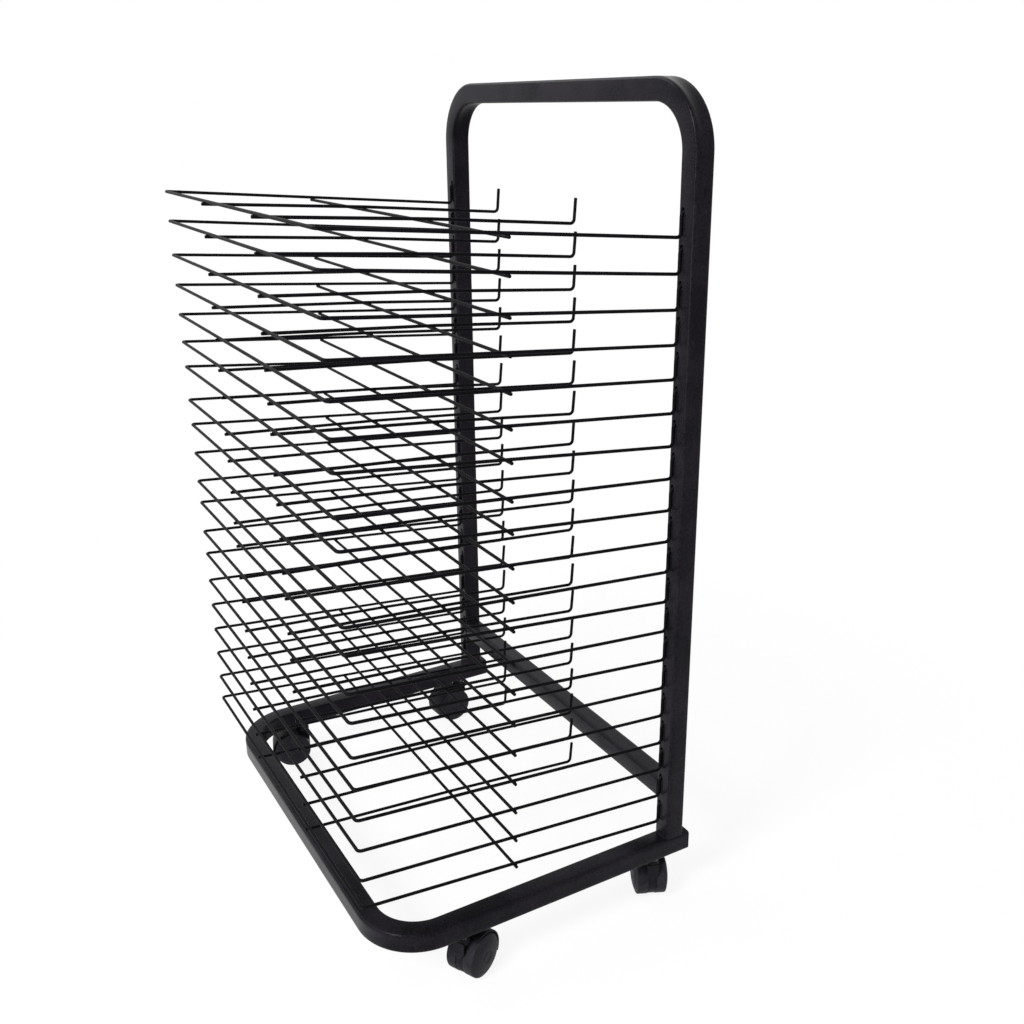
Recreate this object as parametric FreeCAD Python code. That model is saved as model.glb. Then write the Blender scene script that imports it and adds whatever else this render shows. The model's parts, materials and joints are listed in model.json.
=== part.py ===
import FreeCAD, Part
import math
import os

V = FreeCAD.Vector

# Art drying rack: a tube frame on four castors that carries a stack of hooked wire shelves.
# Millimetres, +Z up, +X across the rack, -Y out of the open front where the sheets go in.

# Frame tube
WIDTH = 450.0           # across the outside of both posts
TUBE = 20.0             # outside of the square tube
WALL = 1.5
EDGE_R = 2.5            # rounding along the tube's long edges
BEND_R = 50.0           # centre line of every tube bend
UPRIGHT_H = 711.0       # from the top of the base rails to the top of the top bar
RAIL_FRONT = 303.0      # front of the base, ahead of the posts' front face
RAIL_REAR = 28.0        # rear ends of the base, behind the posts' front face
CROSSBAR_LIFT = 40.0    # underside of the rear crossbar above the base rails

# Castors
CASTOR_H = 51.0         # floor to the underside of the base rails
WHEEL_R = 21.0
WHEEL_IN = 4.5          # inner face of each wheel from the castor's middle
WHEEL_TREAD = 13.2      # outer end of the flat tread
SHOULDER = 1.7          # rounding between the tread and the outer face
WHEEL_OUT = 17.6        # flat middle of the outer face
FACE_R = 9.0            # the outer face is flat inside this radius and domed outside it
DOME_RISE = 0.4         # dome above a straight line from the shoulder to the flat
RIM = 3.0
RIM_FLOOR = 1.0         # the wheel's hollow stops this far short of the tread's outer end
HUB_R = 6.0
TRAIL = 13.5            # axle behind the swivel axis
AXLE_R = 2.5
AXLE_HALF = 15.4
AXLE_RUN = 0.05         # radial running clearance of a wheel on its axle
END_GAP = 0.3           # axle end to the closed bottom of the wheel's bore
HOOD_GAP = 1.0          # hood over the tread
HOOD_T = 1.8
HOOD_HALF = 13.8
HOOD_START = -24.0      # degrees up from level, behind the axle, where the hood begins
HOOD_SPAN = 132.0       # degrees of tread that the hood covers, from there over the top
WEB_HALF = 4.0
WEB_R = 20.0
COLLAR_R = 7.0
COLLAR_H = 6.0
NECK_IN = 1.0           # neck under the collar, narrower than the collar by this on each side
PIN_R = 3.0
PIN_RUN = 0.03
PIN_LEN = 19.0
PIN_END = 1.0
NUT_H = 2.7
NUT_FLATS = 13.0
SWIVEL_GAP = 0.5
THREAD_R = 4.0
THREAD_GAP = 0.05
THREAD_LEN = 12.0
INSERT_R = 5.5
INSERT_LEN = 14.0
INSERT_LIP_R = 7.0
INSERT_LIP = 0.8
REAR_CASTOR_Y = -10.0
FRONT_CASTOR_Y = -223.0
# where each castor's wheels trail to, in degrees from +X
CASTORS = (
    ("right_front", 1, FRONT_CASTOR_Y, 116.0),
    ("right_rear", 1, REAR_CASTOR_Y, 155.0),
    ("left_front", -1, FRONT_CASTOR_Y, 253.0),
    ("left_rear", -1, REAR_CASTOR_Y, 275.0),
)

# Plugs in the rear ends of the base
PLUG_LIP = 2.0
PLUG_LEN = 10.0
PLUG_FIT = 0.05

# Wire shelves
SHELVES = 20
PITCH = 30.0
LOWEST_WIRE = 15.0      # lowest shelf's side wire above the base rails, at the post
WIRE_R = 1.5
SIDE_IN = 4.0           # side wires inboard of the middle of the posts
DEPTH = 315.0           # leg to front wire, along the slope
LEG_GAP = 0.1           # leg clear of the post's face
HOOK_RISE = 20.0        # middle of the hook's neck above the side wire
HOOK_GAP = 0.1          # hook tip behind the wall
TIP_LEN = 5.5
NECK_BEND = 2.5
LEG_BEND = 3.5
CORNER_BEND = 5.0
WELD = 0.3              # how far crossing wires sink into each other at a weld
CROSS_AT = 164.0
CROSS_END = 3.2         # cross wire past the side wires
INNER_X = (77.0, -68.0)
STUB = 3.0              # inner wires past the front wire
STOP_AT = 19.0          # turned up rear ends of the inner wires, from the leg
STOP_H = 22.8
STOP_BEND = 4.0
KINK_BEND = 100.0
# The hook bends are not all alike, so the shelves slope up to the front a little unevenly.
TILT = 4.7
TILT_HIGH = 5.1
TILT_LOW = 4.4
TILT_LOWEST = 4.1
HIGH_SHELVES = (7, 12, 14, 20)
LOW_SHELVES = (1, 6, 10, 13)
LOWEST_SHELVES = (3, 4, 5, 8, 11)

# Slots in the front walls of the posts
SLOT_W = 4.5
SLOT_H = 7.2
NECK_GAP = 0.03         # under the neck, at the slot's lower edge

CUT = 1.0               # cutters run this far past a face

RAIL_TOP = CASTOR_H + TUBE
POST_X = (WIDTH - TUBE) / 2.0
SIDE_X = POST_X - SIDE_IN
LEG_Y = -WIRE_R - LEG_GAP
TIP_Y = WALL + WIRE_R + HOOK_GAP
PIVOT_Y = (LEG_Y + TIP_Y) / 2.0
NECK_HALF = (TIP_Y - LEG_Y) / 2.0
NECK_DROP = PIVOT_Y + WIRE_R * math.sqrt(2.0)
FRONT_REACH = (DEPTH + STUB) * math.cos(math.radians(TILT_LOWEST)) - LEG_Y
FRONT_REACH = FRONT_REACH + WIRE_R * math.sin(math.radians(TILT_LOWEST))
CENTRE_Y = (FRONT_REACH - RAIL_REAR) / 2.0


def export(shape, name):
    placed = shape.copy()
    placed.translate(V(0, CENTRE_Y, 0))
    placed.exportStep("parts/" + name + ".step")


def bent_path(points, radii):
    # straight runs joined by tangent bends, one radius for each inner point
    edges = []
    start = points[0]
    for i in range(1, len(points) - 1):
        corner = points[i]
        back = (points[i - 1] - corner).normalize()
        ahead = (points[i + 1] - corner).normalize()
        half = back.getAngle(ahead) / 2.0
        reach = radii[i - 1] / math.tan(half)
        first = corner + back * reach
        last = corner + ahead * reach
        inward = (back + ahead).normalize()
        middle = corner + inward * (radii[i - 1] / math.sin(half) - radii[i - 1])
        edges.append(Part.makeLine(start, first))
        edges.append(Part.Arc(first, middle, last).toShape())
        start = last
    edges.append(Part.makeLine(start, points[-1]))
    return Part.Wire(edges)


def sweep(path, profile):
    return path.makePipeShell([profile], True, False)


def wire_rod(points, radii):
    heading = points[1] - points[0]
    ring = Part.Wire([Part.makeCircle(WIRE_R, points[0], heading)])
    return sweep(bent_path(points, radii), ring)


def square_ring(centre, side, across, size, corner):
    # rounded square outline round centre, across and side are unit vectors
    half = size / 2.0
    flat = half - corner
    edges = []
    for turn in range(4):
        angle = turn * math.pi / 2.0
        u = across * math.cos(angle) + side * math.sin(angle)
        w = side * math.cos(angle) - across * math.sin(angle)
        a = centre + u * half - w * flat
        b = centre + u * half + w * flat
        mid_reach = flat + corner / math.sqrt(2.0)
        mid = centre + u * mid_reach + w * mid_reach
        c = centre + u * flat + w * half
        edges.append(Part.makeLine(a, b))
        edges.append(Part.Arc(b, mid, c).toShape())
    return Part.Wire(edges)


def tube(points, radii, side, across):
    path = bent_path(points, radii)
    outer = sweep(path, square_ring(points[0], side, across, TUBE, EDGE_R))
    bore = sweep(path, square_ring(points[0], side, across, TUBE - 2.0 * WALL, EDGE_R - WALL))
    return outer.cut(bore)


def shelf_z(number):
    return RAIL_TOP + LOWEST_WIRE + PITCH * (SHELVES - number)


def slot(x, pivot_z):
    # upright slot with round ends, through the front wall only
    low = pivot_z - NECK_DROP - NECK_GAP
    r = SLOT_W / 2.0
    depth = WALL + EDGE_R / 2.0
    bottom = Part.makeCylinder(r, depth + CUT, V(x, -CUT, low + r), V(0, 1, 0))
    top = Part.makeCylinder(r, depth + CUT, V(x, -CUT, low + SLOT_H - r), V(0, 1, 0))
    body = Part.makeBox(SLOT_W, depth + CUT, SLOT_H - SLOT_W, V(x - r, -CUT, low + r))
    return body.fuse([bottom, top])


def upright_frame():
    y = TUBE / 2.0
    top = RAIL_TOP + UPRIGHT_H - TUBE / 2.0
    points = [
        V(-POST_X, y, RAIL_TOP),
        V(-POST_X, y, top),
        V(POST_X, y, top),
        V(POST_X, y, RAIL_TOP),
    ]
    frame = tube(points, [BEND_R, BEND_R], V(1, 0, 0), V(0, 1, 0))
    slots = []
    for number in range(1, SHELVES + 1):
        for x in (-SIDE_X, SIDE_X):
            slots.append(slot(x, shelf_z(number) + HOOK_RISE))
    return frame.cut(slots)


def base_frame():
    z = CASTOR_H + TUBE / 2.0
    rear = RAIL_REAR - PLUG_LIP
    front = -RAIL_FRONT + TUBE / 2.0
    points = [
        V(-POST_X, rear, z),
        V(-POST_X, front, z),
        V(POST_X, front, z),
        V(POST_X, rear, z),
    ]
    frame = tube(points, [BEND_R, BEND_R], V(1, 0, 0), V(0, 0, 1))
    holes = []
    for name, side, y, trail in CASTORS:
        holes.append(Part.makeCylinder(INSERT_R, WALL + 2.0 * CUT, V(side * POST_X, y, CASTOR_H - CUT)))
    return frame.cut(holes)


def rear_crossbar():
    z = RAIL_TOP + CROSSBAR_LIFT + TUBE / 2.0
    inner = POST_X - TUBE / 2.0
    points = [V(-inner, TUBE / 2.0, z), V(inner, TUBE / 2.0, z)]
    return tube(points, [], V(0, 1, 0), V(0, 0, 1))


def end_plug(x):
    z = CASTOR_H + TUBE / 2.0
    across = V(1, 0, 0)
    up = V(0, 0, 1)
    lip_start = V(x, RAIL_REAR - PLUG_LIP, z)
    lip_ring = square_ring(lip_start, up, across, TUBE, EDGE_R)
    lip = Part.Face(lip_ring).extrude(V(0, PLUG_LIP, 0))
    plug_size = TUBE - 2.0 * (WALL + PLUG_FIT)
    plug_start = V(x, RAIL_REAR - PLUG_LIP - PLUG_LEN, z)
    plug_ring = square_ring(plug_start, up, across, plug_size, EDGE_R - WALL)
    plug = Part.Face(plug_ring).extrude(V(0, PLUG_LEN, 0))
    return lip.fuse(plug)


def insert(x, y):
    # threaded insert set into the rail's lower wall
    lip = Part.makeCylinder(INSERT_LIP_R, INSERT_LIP, V(x, y, CASTOR_H - INSERT_LIP))
    barrel = Part.makeCylinder(INSERT_R, INSERT_LEN, V(x, y, CASTOR_H))
    bore_foot = V(x, y, CASTOR_H - INSERT_LIP - CUT)
    bore = Part.makeCylinder(THREAD_R, INSERT_LEN + INSERT_LIP + 2.0 * CUT, bore_foot)
    return lip.fuse(barrel).cut(bore)


def stem(x, y):
    # threaded end up in the insert, hexagon under it and plain pin down in the castor
    nut_top = CASTOR_H - INSERT_LIP
    nut_bottom = nut_top - NUT_H
    corners = []
    for i in range(7):
        angle = math.radians(60.0 * i)
        r = NUT_FLATS / 2.0 / math.cos(math.radians(30.0))
        corners.append(V(x + r * math.cos(angle), y + r * math.sin(angle), nut_bottom))
    nut = Part.Face(Part.makePolygon(corners)).extrude(V(0, 0, NUT_H))
    thread = Part.makeCylinder(THREAD_R - THREAD_GAP, THREAD_LEN, V(x, y, nut_top))
    pin = Part.makeCylinder(PIN_R, PIN_LEN, V(x, y, nut_bottom - PIN_LEN))
    return nut.fuse([thread, pin])


def hood():
    # swivel axis on Z, wheels trail to +X, axle along Y
    axle = V(TRAIL, 0, WHEEL_R)
    along = V(0, 1, 0)
    inner = WHEEL_R + HOOD_GAP
    outer = inner + HOOD_T
    turn = 90.0 - HOOD_START - HOOD_SPAN
    shell = Part.makeCylinder(outer, 2.0 * HOOD_HALF, axle - along * HOOD_HALF, along, HOOD_SPAN)
    shell.rotate(axle, along, turn)
    core_half = WHEEL_OUT + CUT
    core = Part.makeCylinder(inner, 2.0 * core_half, axle - along * core_half, along)
    shell = shell.cut(core)
    web_side = axle - along * WEB_HALF
    disc = Part.makeCylinder(WEB_R, 2.0 * WEB_HALF, web_side, along)
    fin = Part.makeCylinder(inner + HOOD_T / 2.0, 2.0 * WEB_HALF, web_side, along, HOOD_SPAN)
    fin.rotate(axle, along, turn)
    collar_top = CASTOR_H - INSERT_LIP - NUT_H - SWIVEL_GAP
    collar = Part.makeCylinder(COLLAR_R, COLLAR_H, V(0, 0, collar_top - COLLAR_H))
    neck_low = WHEEL_R + PIN_R
    neck_half = COLLAR_R - NECK_IN
    neck_h = collar_top - COLLAR_H / 2.0 - neck_low
    neck = Part.makeBox(2.0 * neck_half, 2.0 * WEB_HALF, neck_h, V(-neck_half, -WEB_HALF, neck_low))
    body = shell.fuse([disc, fin, collar, neck])
    pin_bottom = CASTOR_H - INSERT_LIP - NUT_H - PIN_LEN - PIN_END
    bore = Part.makeCylinder(PIN_R + PIN_RUN, CASTOR_H, V(0, 0, pin_bottom))
    hole_half = WEB_HALF + CUT
    axle_hole = Part.makeCylinder(AXLE_R, 2.0 * hole_half, axle - along * hole_half, along)
    slab = Part.makeBox(4.0 * WHEEL_R, 2.0 * WEB_HALF, 4.0 * WHEEL_R, web_side - V(2.0 * WHEEL_R, 0, 2.0 * WHEEL_R))
    tread_room = core.cut(slab)
    return body.cut([bore, axle_hole, tread_room])


def axle():
    return Part.makeCylinder(AXLE_R, 2.0 * AXLE_HALF, V(TRAIL, -AXLE_HALF, WHEEL_R), V(0, 1, 0))


def wheel(side):
    # turned about the axle: flat tread, domed outer face, hollow towards the castor's middle
    bore_end = AXLE_HALF + END_GAP
    bore_r = AXLE_R + AXLE_RUN
    hollow_r = WHEEL_R - RIM
    hollow_end = WHEEL_TREAD - RIM_FLOOR
    outline = [
        V(bore_r, WHEEL_IN, 0),
        V(HUB_R, WHEEL_IN, 0),
        V(HUB_R, hollow_end, 0),
        V(hollow_r, hollow_end, 0),
        V(hollow_r, WHEEL_IN, 0),
        V(WHEEL_R, WHEEL_IN, 0),
        V(WHEEL_R, WHEEL_TREAD, 0),
    ]
    edges = [Part.makeLine(a, b) for a, b in zip(outline[:-1], outline[1:])]
    diagonal = SHOULDER / math.sqrt(2.0)
    shoulder_mid = V(WHEEL_R - SHOULDER + diagonal, WHEEL_TREAD + diagonal, 0)
    shoulder_end = V(WHEEL_R - SHOULDER, WHEEL_TREAD + SHOULDER, 0)
    edges.append(Part.Arc(outline[-1], shoulder_mid, shoulder_end).toShape())
    dome_end = V(FACE_R, WHEEL_OUT, 0)
    dome_mid = (shoulder_end + dome_end) * 0.5 + V(0, DOME_RISE, 0)
    edges.append(Part.Arc(shoulder_end, dome_mid, dome_end).toShape())
    tail = [dome_end, V(0, WHEEL_OUT, 0), V(0, bore_end, 0), V(bore_r, bore_end, 0), outline[0]]
    edges = edges + [Part.makeLine(a, b) for a, b in zip(tail[:-1], tail[1:])]
    turned = Part.Face(Part.Wire(edges)).revolve(V(0, 0, 0), V(0, 1, 0), 360.0)
    if side < 0:
        turned = turned.mirror(V(0, 0, 0), V(0, 1, 0))
    turned.translate(V(TRAIL, 0, WHEEL_R))
    return turned


def place_castor(shape, side, y, trail):
    placed = shape.copy()
    placed.rotate(V(0, 0, 0), V(0, 0, 1), trail)
    placed.translate(V(side * POST_X, y, 0))
    return placed


def shelf(tilt):
    # wires round the side wire's corner at the post, then shifted up to each shelf's own height
    slope = math.radians(tilt)
    out = V(0, -math.cos(slope), math.sin(slope))
    up = V(0, math.sin(slope), math.cos(slope))
    foot = V(0, LEG_Y, 0)
    drop = up * (WELD - 2.0 * WIRE_R)
    left = V(-SIDE_X, 0, 0)
    right = V(SIDE_X, 0, 0)
    side = [
        V(0, TIP_Y, HOOK_RISE + NECK_HALF + TIP_LEN),
        V(0, TIP_Y, HOOK_RISE + NECK_HALF),
        V(0, LEG_Y, HOOK_RISE - NECK_HALF),
        foot,
        foot + out * DEPTH,
    ]
    points = [left + p for p in side] + [right + p for p in reversed(side)]
    bends = [NECK_BEND, NECK_BEND, LEG_BEND, CORNER_BEND]
    rim = wire_rod(points, bends + bends[::-1])
    cross_half = SIDE_X + CROSS_END
    cross_foot = foot + out * CROSS_AT + drop
    cross = wire_rod([V(-cross_half, 0, 0) + cross_foot, V(cross_half, 0, 0) + cross_foot], [])
    wires = [cross]
    run = DEPTH - CROSS_AT
    for x in INNER_X:
        shift = V(x, 0, 0)
        stop = foot + out * STOP_AT
        kink = foot + out * CROSS_AT
        end = kink + out * (run + STUB) + drop * ((run + STUB) / run)
        inner = [shift + stop + V(0, 0, STOP_H), shift + stop, shift + kink, shift + end]
        wires.append(wire_rod(inner, [STOP_BEND, KINK_BEND]))
    return rim.fuse(wires)


def shelf_tilt(number):
    if number in HIGH_SHELVES:
        return TILT_HIGH
    if number in LOW_SHELVES:
        return TILT_LOW
    if number in LOWEST_SHELVES:
        return TILT_LOWEST
    return TILT


os.makedirs("parts", exist_ok=True)
export(upright_frame(), "upright_frame")
export(base_frame(), "base_frame")
export(rear_crossbar(), "rear_crossbar")
export(Part.makeCompound([end_plug(-POST_X), end_plug(POST_X)]), "rail_end_plugs")
export(Part.makeCompound([insert(side * POST_X, y) for name, side, y, trail in CASTORS]), "castor_inserts")
export(Part.makeCompound([stem(side * POST_X, y) for name, side, y, trail in CASTORS]), "castor_stems")

plain_hood = hood()
plain_axle = axle()
wheel_pair = Part.makeCompound([wheel(-1), wheel(1)])
for name, side, y, trail in CASTORS:
    export(place_castor(plain_hood, side, y, trail), "castor_hood_" + name)
    export(place_castor(plain_axle, side, y, trail), "castor_axle_" + name)
    export(place_castor(wheel_pair, side, y, trail), "castor_wheels_" + name)

built = {}
for number in range(1, SHELVES + 1):
    tilt = shelf_tilt(number)
    if tilt not in built:
        built[tilt] = shelf(tilt)
    placed = built[tilt].copy()
    placed.translate(V(0, 0, shelf_z(number)))
    export(placed, "shelf_{:02d}".format(number))
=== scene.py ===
import json
import math
import bpy
from mathutils import Matrix, Vector


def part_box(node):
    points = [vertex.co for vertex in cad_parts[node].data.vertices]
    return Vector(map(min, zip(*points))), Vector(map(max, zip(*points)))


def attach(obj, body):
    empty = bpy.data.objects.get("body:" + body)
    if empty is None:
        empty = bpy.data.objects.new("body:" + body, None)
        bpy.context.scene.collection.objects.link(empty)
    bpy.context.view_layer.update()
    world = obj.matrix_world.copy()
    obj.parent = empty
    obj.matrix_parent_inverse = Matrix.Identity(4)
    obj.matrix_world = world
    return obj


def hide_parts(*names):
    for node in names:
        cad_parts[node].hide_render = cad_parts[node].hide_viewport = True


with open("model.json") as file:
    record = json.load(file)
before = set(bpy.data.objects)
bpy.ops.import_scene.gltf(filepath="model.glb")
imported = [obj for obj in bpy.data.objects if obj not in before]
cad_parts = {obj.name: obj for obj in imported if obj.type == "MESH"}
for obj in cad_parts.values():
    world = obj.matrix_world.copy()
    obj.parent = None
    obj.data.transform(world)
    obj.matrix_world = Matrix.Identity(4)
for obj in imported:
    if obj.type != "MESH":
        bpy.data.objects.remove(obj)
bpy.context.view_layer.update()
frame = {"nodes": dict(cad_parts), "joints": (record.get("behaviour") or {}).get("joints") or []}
mm = 0.001
upward = Vector((0, 0, 1))
depthwise = Vector((0, 1, 0))
sideways = Vector((1, 0, 0))
spinSense = -1.0    # the spin operator turns this way round when Blender has no window
jointPlace = {joint["name"]: Vector(joint["pos_m"]) for joint in frame["joints"]}
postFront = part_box("rear_crossbar")[0].y     # front face of both posts
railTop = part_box("upright_frame")[0].z
roundSteps = 3      # facets across a small rounding
mergeGap = 0.00001  # vertices nearer to each other than this become one
squareShare = 0.9   # cosine from which a face counts as square to a direction
print("frame loaded,", len(frame["nodes"]), "nodes")


def jointPlaces(ending):
    return [place for name, place in jointPlace.items() if name.endswith(ending)]


def deselectAll():
    if bpy.context.mode != "OBJECT":
        bpy.ops.object.mode_set(mode="OBJECT")
    bpy.ops.object.select_all(action="DESELECT")


def pick(piece):
    deselectAll()
    piece.select_set(True)
    bpy.context.view_layer.objects.active = piece


def startPiece(name):
    # names the primitive that was just added, puts its place into its mesh and starts editing
    piece = bpy.context.object
    piece.name = name
    piece.data.name = name
    bpy.ops.object.transform_apply(location=True, rotation=True, scale=True)
    bpy.ops.object.mode_set(mode="EDIT")
    bpy.ops.mesh.select_mode(type="VERT")
    bpy.ops.mesh.select_all(action="SELECT")
    return piece


def selectFaces(piece, test):
    pick(piece)
    bpy.ops.object.mode_set(mode="EDIT")
    bpy.ops.mesh.select_mode(type="FACE")
    bpy.ops.mesh.select_all(action="DESELECT")
    bpy.ops.object.mode_set(mode="OBJECT")
    for face in piece.data.polygons:
        face.select = test(face)
    bpy.ops.object.mode_set(mode="EDIT")


def squareTo(*directions):
    # a test for faces that look squarely one of these ways
    return lambda face: any(face.normal.dot(way) > squareShare for way in directions)


def settle(piece, smoothAngle=35.0):
    # doubles merged, faces pointing outwards, soft shading across shallow angles only
    pick(piece)
    bpy.ops.object.mode_set(mode="EDIT")
    bpy.ops.mesh.select_all(action="SELECT")
    bpy.ops.mesh.remove_doubles(threshold=mergeGap)
    bpy.ops.mesh.normals_make_consistent(inside=False)
    bpy.ops.object.mode_set(mode="OBJECT")
    bpy.ops.object.shade_smooth_by_angle(angle=math.radians(smoothAngle))
    return piece


def applyModifier(piece, kind, **settings):
    pick(piece)
    modifier = piece.modifiers.new(kind.lower(), kind)
    for key, value in settings.items():
        setattr(modifier, key, value)
    bpy.ops.object.modifier_apply(modifier=modifier.name)


def combine(piece, other, operation="UNION"):
    applyModifier(piece, "BOOLEAN", operation=operation, solver="EXACT", object=other)
    bpy.data.objects.remove(other, do_unlink=True)
    return piece


def joinPieces(pieces):
    deselectAll()
    for piece in pieces:
        piece.select_set(True)
    bpy.context.view_layer.objects.active = pieces[0]
    bpy.ops.object.join()
    return pieces[0]


def copyPiece(piece, name, shift, turn=0.0):
    twin = piece.copy()
    twin.data = piece.data.copy()
    twin.name = name
    twin.data.name = name
    bpy.context.scene.collection.objects.link(twin)
    twin.data.transform(Matrix.Translation(shift) @ Matrix.Rotation(turn, 4, "Z"))
    return twin


def facing(direction):
    return direction.to_track_quat("Z", "Y").to_euler()


def pushOut(shift):
    bpy.ops.mesh.extrude_region_move(TRANSFORM_OT_translate={"value": shift})


def followRoute(route, bends, stepAngle):
    # the selected end face is fed straight and swung round each bend, as a bending machine does it
    place = route[0].copy()
    for i in range(1, len(route) - 1):
        before = (route[i] - route[i - 1]).normalized()
        after = (route[i + 1] - route[i]).normalized()
        angle = before.angle(after)
        axis = before.cross(after).normalized()
        tangent = bends[i - 1] * math.tan(angle / 2)
        feed = before * ((route[i] - place).dot(before) - tangent)
        pushOut(feed)
        place += feed
        centre = place + axis.cross(before) * bends[i - 1]
        steps = max(2, round(math.degrees(angle) / stepAngle))
        bpy.ops.mesh.spin(steps=steps, angle=angle * spinSense, center=centre, axis=axis)
        place = route[i] + after * tangent
    pushOut(route[-1] - place)


def turnedPiece(name, profile, axis, steps):
    # a lathe: a row of points in the plane of X and the axis goes right round the axis
    bpy.ops.mesh.primitive_plane_add(size=mm, location=profile[0])
    piece = startPiece(name)
    bpy.ops.mesh.merge(type="CENTER")
    for i in range(1, len(profile)):
        shift = profile[i] - profile[i - 1]
        bpy.ops.mesh.extrude_vertices_move(TRANSFORM_OT_translate={"value": shift})
    bpy.ops.mesh.select_all(action="SELECT")
    bpy.ops.mesh.spin(steps=steps, angle=math.tau, center=(0, 0, 0), axis=axis)
    return settle(piece)


def discPiece(name, place, rotation, radius, sides):
    deselectAll()
    bpy.ops.mesh.primitive_circle_add(vertices=sides, radius=radius, fill_type="NGON",
                                      location=place, rotation=rotation)
    return startPiece(name)


def roundBar(name, start, end, radius, sides=48):
    # straight round bar, used for bosses and for drilling holes
    deselectAll()
    bpy.ops.mesh.primitive_cylinder_add(vertices=sides, radius=radius, depth=(end - start).length,
                                        location=(start + end) / 2, rotation=facing(end - start))
    piece = startPiece(name)
    bpy.ops.object.mode_set(mode="OBJECT")
    return piece


frameTube = {
    "size": 20.0,
    "wall": 1.5,
    "edge": 2.5,
    "edgeSteps": 4,
    "bend": 50.0,
    "stepAngle": 3.75,
    "innerDent": 1.3,       # how far the inside wall of a bend is pressed in
    "archFlat": 1.5,        # how far the outside wall of a bend flattens
    "baseFlat": 0.2,
    "postX": 215.0,
    "topBar": 711.0,        # top of the top bar above the rails
    "railFront": 304.0,     # front of the base ahead of the posts' front face
    "railRear": 26.0,       # rear ends of the base tube behind it, without the plugs
    "slotX": 211.0,
    "slotWidth": 4.5,
    "slotHeight": 7.2,
    "slotSides": 24,
    "slotDrop": 2.901,      # lower end of a slot below the hinge line of its shelf
    "insertRadius": 5.55,
    "insertDepth": 3.0,
    "cutLead": 1.0,         # punches and drills start this far outside the wall
    "punchPast": 0.5,       # and the punch ends this far inside it
    "flatLoops": (-0.6, 0.0, 0.6),      # cuts along the flats give the press points to move
    "endZone": 6.0,         # the faces that close the tube lie this near to its ends
    "pressZone": 0.2,       # how far off its own surface a bent wall is still pressed
}


def tubeOutline(name, place, heading, tube):
    # the square outline with its rounded edges, ready to be fed along
    deselectAll()
    bpy.ops.mesh.primitive_plane_add(size=tube["size"] * mm, location=place,
                                     rotation=facing(heading))
    piece = startPiece(name)
    bpy.ops.mesh.bevel(offset=tube["edge"] * mm, segments=tube["edgeSteps"], affect="VERTICES")
    bpy.ops.mesh.select_all(action="SELECT")
    return piece


def squareTube(name, route, bends, depthAxis, outerFlat, setup):
    # depthAxis is square to the plane that the tube is bent in
    piece = tubeOutline(name, route[0], (route[1] - route[0]).normalized(), setup)
    followRoute(route, bends, setup["stepAngle"])
    centre = sum(route, Vector()) / len(route)
    flat = (setup["size"] / 2 - setup["edge"]) * mm
    level = centre + depthAxis * (route[0] - centre).dot(depthAxis)
    for share in setup["flatLoops"]:
        bpy.ops.mesh.select_all(action="SELECT")
        plane = level + depthAxis * flat * share
        bpy.ops.mesh.bisect(plane_co=plane, plane_no=depthAxis)
    settle(piece)
    for i in range(1, len(route) - 1):
        pressBend(piece, route[i - 1:i + 2], bends[i - 1], depthAxis, outerFlat, setup)
    ends = (route[0], route[-1])
    zone = setup["endZone"] * mm
    selectFaces(piece, lambda face: any((face.center - end).length < zone for end in ends))
    bpy.ops.mesh.delete(type="FACE")
    bpy.ops.object.mode_set(mode="OBJECT")
    applyModifier(piece, "SOLIDIFY", thickness=setup["wall"] * mm, offset=-1.0,
                  use_even_offset=True)
    return piece


def pressBend(piece, corners, bend, depthAxis, outerFlat, setup):
    # a bent tube's inside wall is pressed in and its outside wall goes a little flat
    before, corner, after = corners
    back = (before - corner).normalized()
    ahead = (after - corner).normalized()
    swing = back.angle(ahead) / 2
    centre = corner + (back + ahead).normalized() * bend / math.sin(swing)
    outward = (corner - centre).normalized()
    half = setup["size"] / 2 * mm
    flat = half - setup["edge"] * mm
    zone = setup["pressZone"] * mm
    for vertex in piece.data.vertices:
        arm = vertex.co - centre
        offset = arm.dot(depthAxis) - (corner - centre).dot(depthAxis)
        arm = arm - depthAxis * arm.dot(depthAxis)
        share = arm.angle(outward) / (math.pi / 2 - swing)
        across = abs(offset) / flat
        if share >= 1.0 or across >= 1.0:
            continue
        press = math.cos(share * math.pi / 2) ** 0.5 * math.cos(across * math.pi / 2)
        if arm.length < bend - half + zone:
            vertex.co += arm.normalized() * setup["innerDent"] * mm * press
        elif arm.length > bend + half - zone:
            vertex.co -= arm.normalized() * outerFlat * mm * press


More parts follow.
